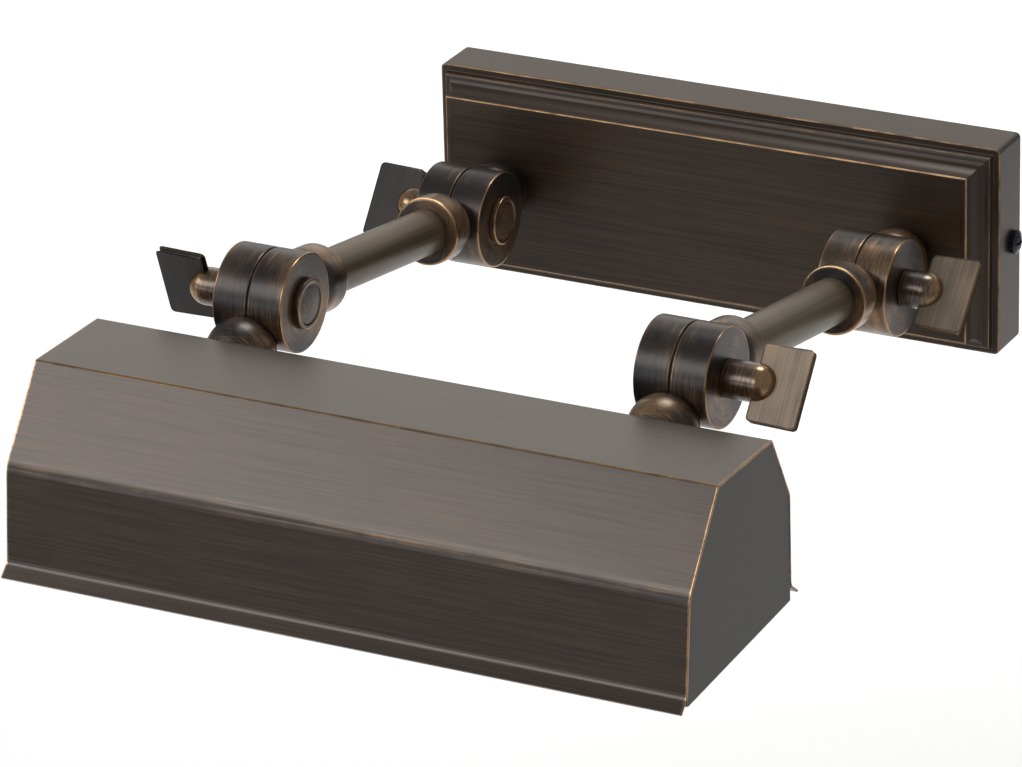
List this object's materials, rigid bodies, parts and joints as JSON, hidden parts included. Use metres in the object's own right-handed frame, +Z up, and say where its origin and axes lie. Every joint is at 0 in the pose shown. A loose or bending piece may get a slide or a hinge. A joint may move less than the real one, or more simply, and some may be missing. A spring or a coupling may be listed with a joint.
{
  "type": "picture light",
  "caption": "Wall-mounted picture light: a long trough shade on a pair of swinging tube arms with wing-nut friction knuckles and a stepped rectangular backplate.",
  "frame": {"origin": "centre of the backplate, on the wall face", "axes": "+X along the shade, to the right as seen from the room; +Y into the wall; +Z up"},
  "size_m": [0.275, 0.3426, 0.0937],
  "materials": {
    "sheet_bronze": "brushed dark bronze patina, copper showing on the ridges",
    "cast_bronze": "brushed dark bronze patina, copper showing on edges and highlights",
    "tube_bronze": "satin dark bronze patina",
    "plated_steel": "zinc plated",
    "black_steel": "blue-black oxide",
    "bare_brass": "bright turned",
    "friction_ring": "plain",
    "rubber": "plain",
    "lampholder": "moulded, satin",
    "terminal_body": "moulded, satin",
    "lead_sleeve": "woven sleeve",
    "earth_sleeve": "extruded sleeve"
  },
  "bodies": {
    "backplate": {"backplate_cover": "sheet_bronze", "wall_bracket": "plated_steel", "cover_screws": "black_steel", "cable_grommet": "rubber", "terminal_block": "terminal_body", "terminal_screws": "bare_brass", "earth_screw": "bare_brass", "earth_lead": "earth_sleeve", "plate_leads": "lead_sleeve", "plate_knuckle_left": "cast_bronze", "plate_knuckle_right": "cast_bronze", "plate_lock_washers": "plated_steel", "plate_locknuts": "bare_brass", "rear_friction_rings": "friction_ring", "rear_pivot_bolts": "cast_bronze"},
    "arm_left": {"arm_rear_knuckle_left": "cast_bronze", "arm_tube_left": "tube_bronze", "arm_front_knuckle_left": "cast_bronze", "arm_lead_left": "lead_sleeve", "front_pivot_bolt_left": "cast_bronze"},
    "arm_right": {"arm_rear_knuckle_right": "cast_bronze", "arm_tube_right": "tube_bronze", "arm_front_knuckle_right": "cast_bronze", "arm_lead_right": "lead_sleeve"},
    "shade": {"shade_shell": "sheet_bronze", "shade_end_cap_left": "sheet_bronze", "shade_end_cap_right": "sheet_bronze", "shade_knuckle_left": "cast_bronze", "shade_knuckle_right": "cast_bronze", "shade_lock_washers": "plated_steel", "shade_locknuts": "bare_brass", "front_friction_rings": "friction_ring", "front_pivot_bolt_right": "cast_bronze", "lampholder_bracket": "plated_steel", "bracket_nuts": "plated_steel", "lampholder_left": "lampholder", "lampholder_right": "lampholder", "lampholder_nuts": "bare_brass", "lampholder_contacts": "bare_brass", "shade_leads": "lead_sleeve"},
    "wing_rear_left": {"wing_nut_rear_left": "cast_bronze"},
    "wing_rear_right": {"wing_nut_rear_right": "cast_bronze"},
    "wing_front_left": {"wing_nut_front_left": "cast_bronze"},
    "wing_front_right": {"wing_nut_front_right": "cast_bronze"}
  },
  "joints": [
    {"name": "arm_left_swing", "type": "hinge", "parent": "backplate", "child": "arm_left", "pos_m": [-0.0865, -0.0664, 0], "axis": [1, 0, 0], "range_deg": [-60, 60]},
    {"name": "arm_right_swing", "type": "hinge", "parent": "backplate", "child": "arm_right", "pos_m": [0.0865, -0.0664, 0], "axis": [1, 0, 0], "range_deg": [-60, 60]},
    {"name": "shade_tilt", "type": "hinge", "parent": "arm_left", "child": "shade", "pos_m": [-0.0865, -0.22474, 0.02565], "axis": [1, 0, 0], "range_deg": [-90, 60]},
    {"name": "wing_rear_left_turn", "type": "hinge", "parent": "backplate", "child": "wing_rear_left", "pos_m": [-0.0865, -0.0664, 0], "axis": [1, 0, 0], "continuous": true},
    {"name": "wing_rear_right_turn", "type": "hinge", "parent": "backplate", "child": "wing_rear_right", "pos_m": [0.0865, -0.0664, 0], "axis": [1, 0, 0], "continuous": true},
    {"name": "wing_front_left_turn", "type": "hinge", "parent": "arm_left", "child": "wing_front_left", "pos_m": [-0.0865, -0.22474, 0.02565], "axis": [1, 0, 0], "continuous": true},
    {"name": "wing_front_right_turn", "type": "hinge", "parent": "shade", "child": "wing_front_right", "pos_m": [0.0865, -0.22474, 0.02565], "axis": [1, 0, 0], "continuous": true}
  ],
  "couplings": [
    {"joint": "arm_right_swing", "follows": "arm_left_swing", "ratio": 1}
  ]
}
